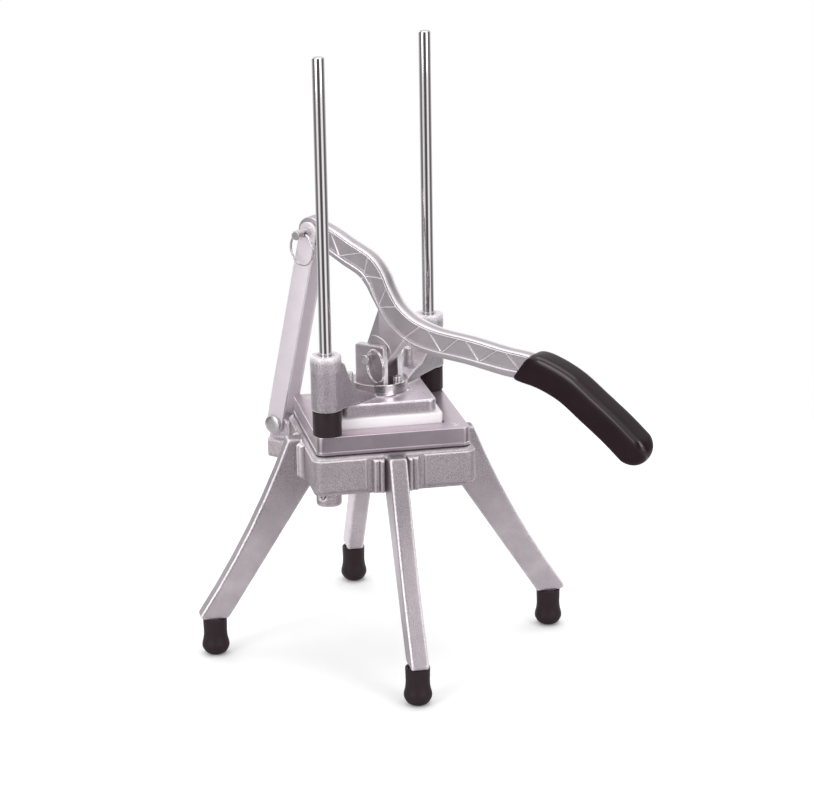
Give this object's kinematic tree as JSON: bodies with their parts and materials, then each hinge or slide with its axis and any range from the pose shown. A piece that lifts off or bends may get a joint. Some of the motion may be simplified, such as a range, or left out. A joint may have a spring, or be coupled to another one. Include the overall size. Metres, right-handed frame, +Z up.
{
  "type": "vegetable dicer",
  "caption": "Table-top lever dicer: splayed cast base, square blade tray, guided pusher block and a long lever with a black grip.",
  "frame": {"origin": "on the table, under the middle of the whole outline; the blade tray's middle is 70 mm behind it", "axes": "+Z up along the guide rods, +X towards the lever's grip, Y across from one guide rod to the other"},
  "size_m": [0.3748, 0.2316, 0.51],
  "materials": {
    "cast_aluminium": "polished casting with a fine peened grain",
    "tray_aluminium": "satin casting",
    "lever_aluminium": "satin casting with brighter rims and ribs",
    "link_aluminium": "satin plate",
    "polished_steel": "polished",
    "blade_steel": "ground strip",
    "bushing_steel": "turned bushing",
    "black_rubber": "matt",
    "black_vinyl": "glossy dipped sleeve",
    "white_plastic": "smooth moulded"
  },
  "bodies": {
    "base": {"base_casting": "cast_aluminium", "leg_tip_right_rear": "black_rubber", "leg_tip_left_rear": "black_rubber", "leg_tip_left_front": "black_rubber", "leg_tip_right_front": "black_rubber", "guide_rod_left": "polished_steel", "guide_rod_right": "polished_steel", "rod_set_screw_left": "polished_steel", "rod_set_screw_right": "polished_steel", "blade_tray": "tray_aluminium", "lower_blade_1": "blade_steel", "upper_blade_1": "blade_steel", "lower_blade_2": "blade_steel", "upper_blade_2": "blade_steel", "lower_blade_3": "blade_steel", "upper_blade_3": "blade_steel", "lower_blade_4": "blade_steel", "upper_blade_4": "blade_steel", "lower_blade_5": "blade_steel", "upper_blade_5": "blade_steel", "lower_blade_6": "blade_steel", "upper_blade_6": "blade_steel", "tray_screw_rear": "polished_steel", "tray_screw_front": "polished_steel", "stop_bumper_left": "black_rubber", "stop_bumper_right": "black_rubber"},
    "head": {"pusher_head": "cast_aluminium", "guide_bushing_left": "bushing_steel", "guide_bushing_right": "bushing_steel", "pusher_block": "white_plastic", "block_screw_1": "polished_steel", "block_screw_2": "polished_steel", "block_screw_3": "polished_steel", "block_screw_4": "polished_steel", "clevis_bracket": "cast_aluminium", "clevis_screw_rear": "polished_steel", "clevis_screw_front": "polished_steel", "clevis_pin": "polished_steel", "clevis_ring": "polished_steel"},
    "lever": {"lever": "lever_aluminium", "lever_grip": "black_vinyl"},
    "link": {"link_plate_near": "link_aluminium", "link_plate_far": "link_aluminium", "lower_link_pin": "polished_steel", "lower_link_ring": "polished_steel", "upper_link_pin_tail": "polished_steel", "upper_link_pin_head": "polished_steel", "upper_link_ring": "polished_steel"}
  },
  "joints": [
    {"name": "head_slide", "type": "slide", "parent": "base", "child": "head", "axis": [0, 0, 1], "range_m": [0, 0.14]},
    {"name": "lever_hinge", "type": "hinge", "parent": "head", "child": "lever", "pos_m": [-0.07013, 0, 0.252], "axis": [0, -1, 0], "range_deg": [0, 76.3]},
    {"name": "link_hinge", "type": "hinge", "parent": "base", "child": "link", "pos_m": [-0.17313, 0, 0.1775], "axis": [0, -1, 0], "range_deg": [0, 15.75]}
  ],
  "couplings": [
    {"joint": "lever_hinge", "follows": "head_slide", "rad_per_m": 9.5091},
    {"joint": "link_hinge", "follows": "head_slide", "rad_per_m": 1.9594}
  ]
}
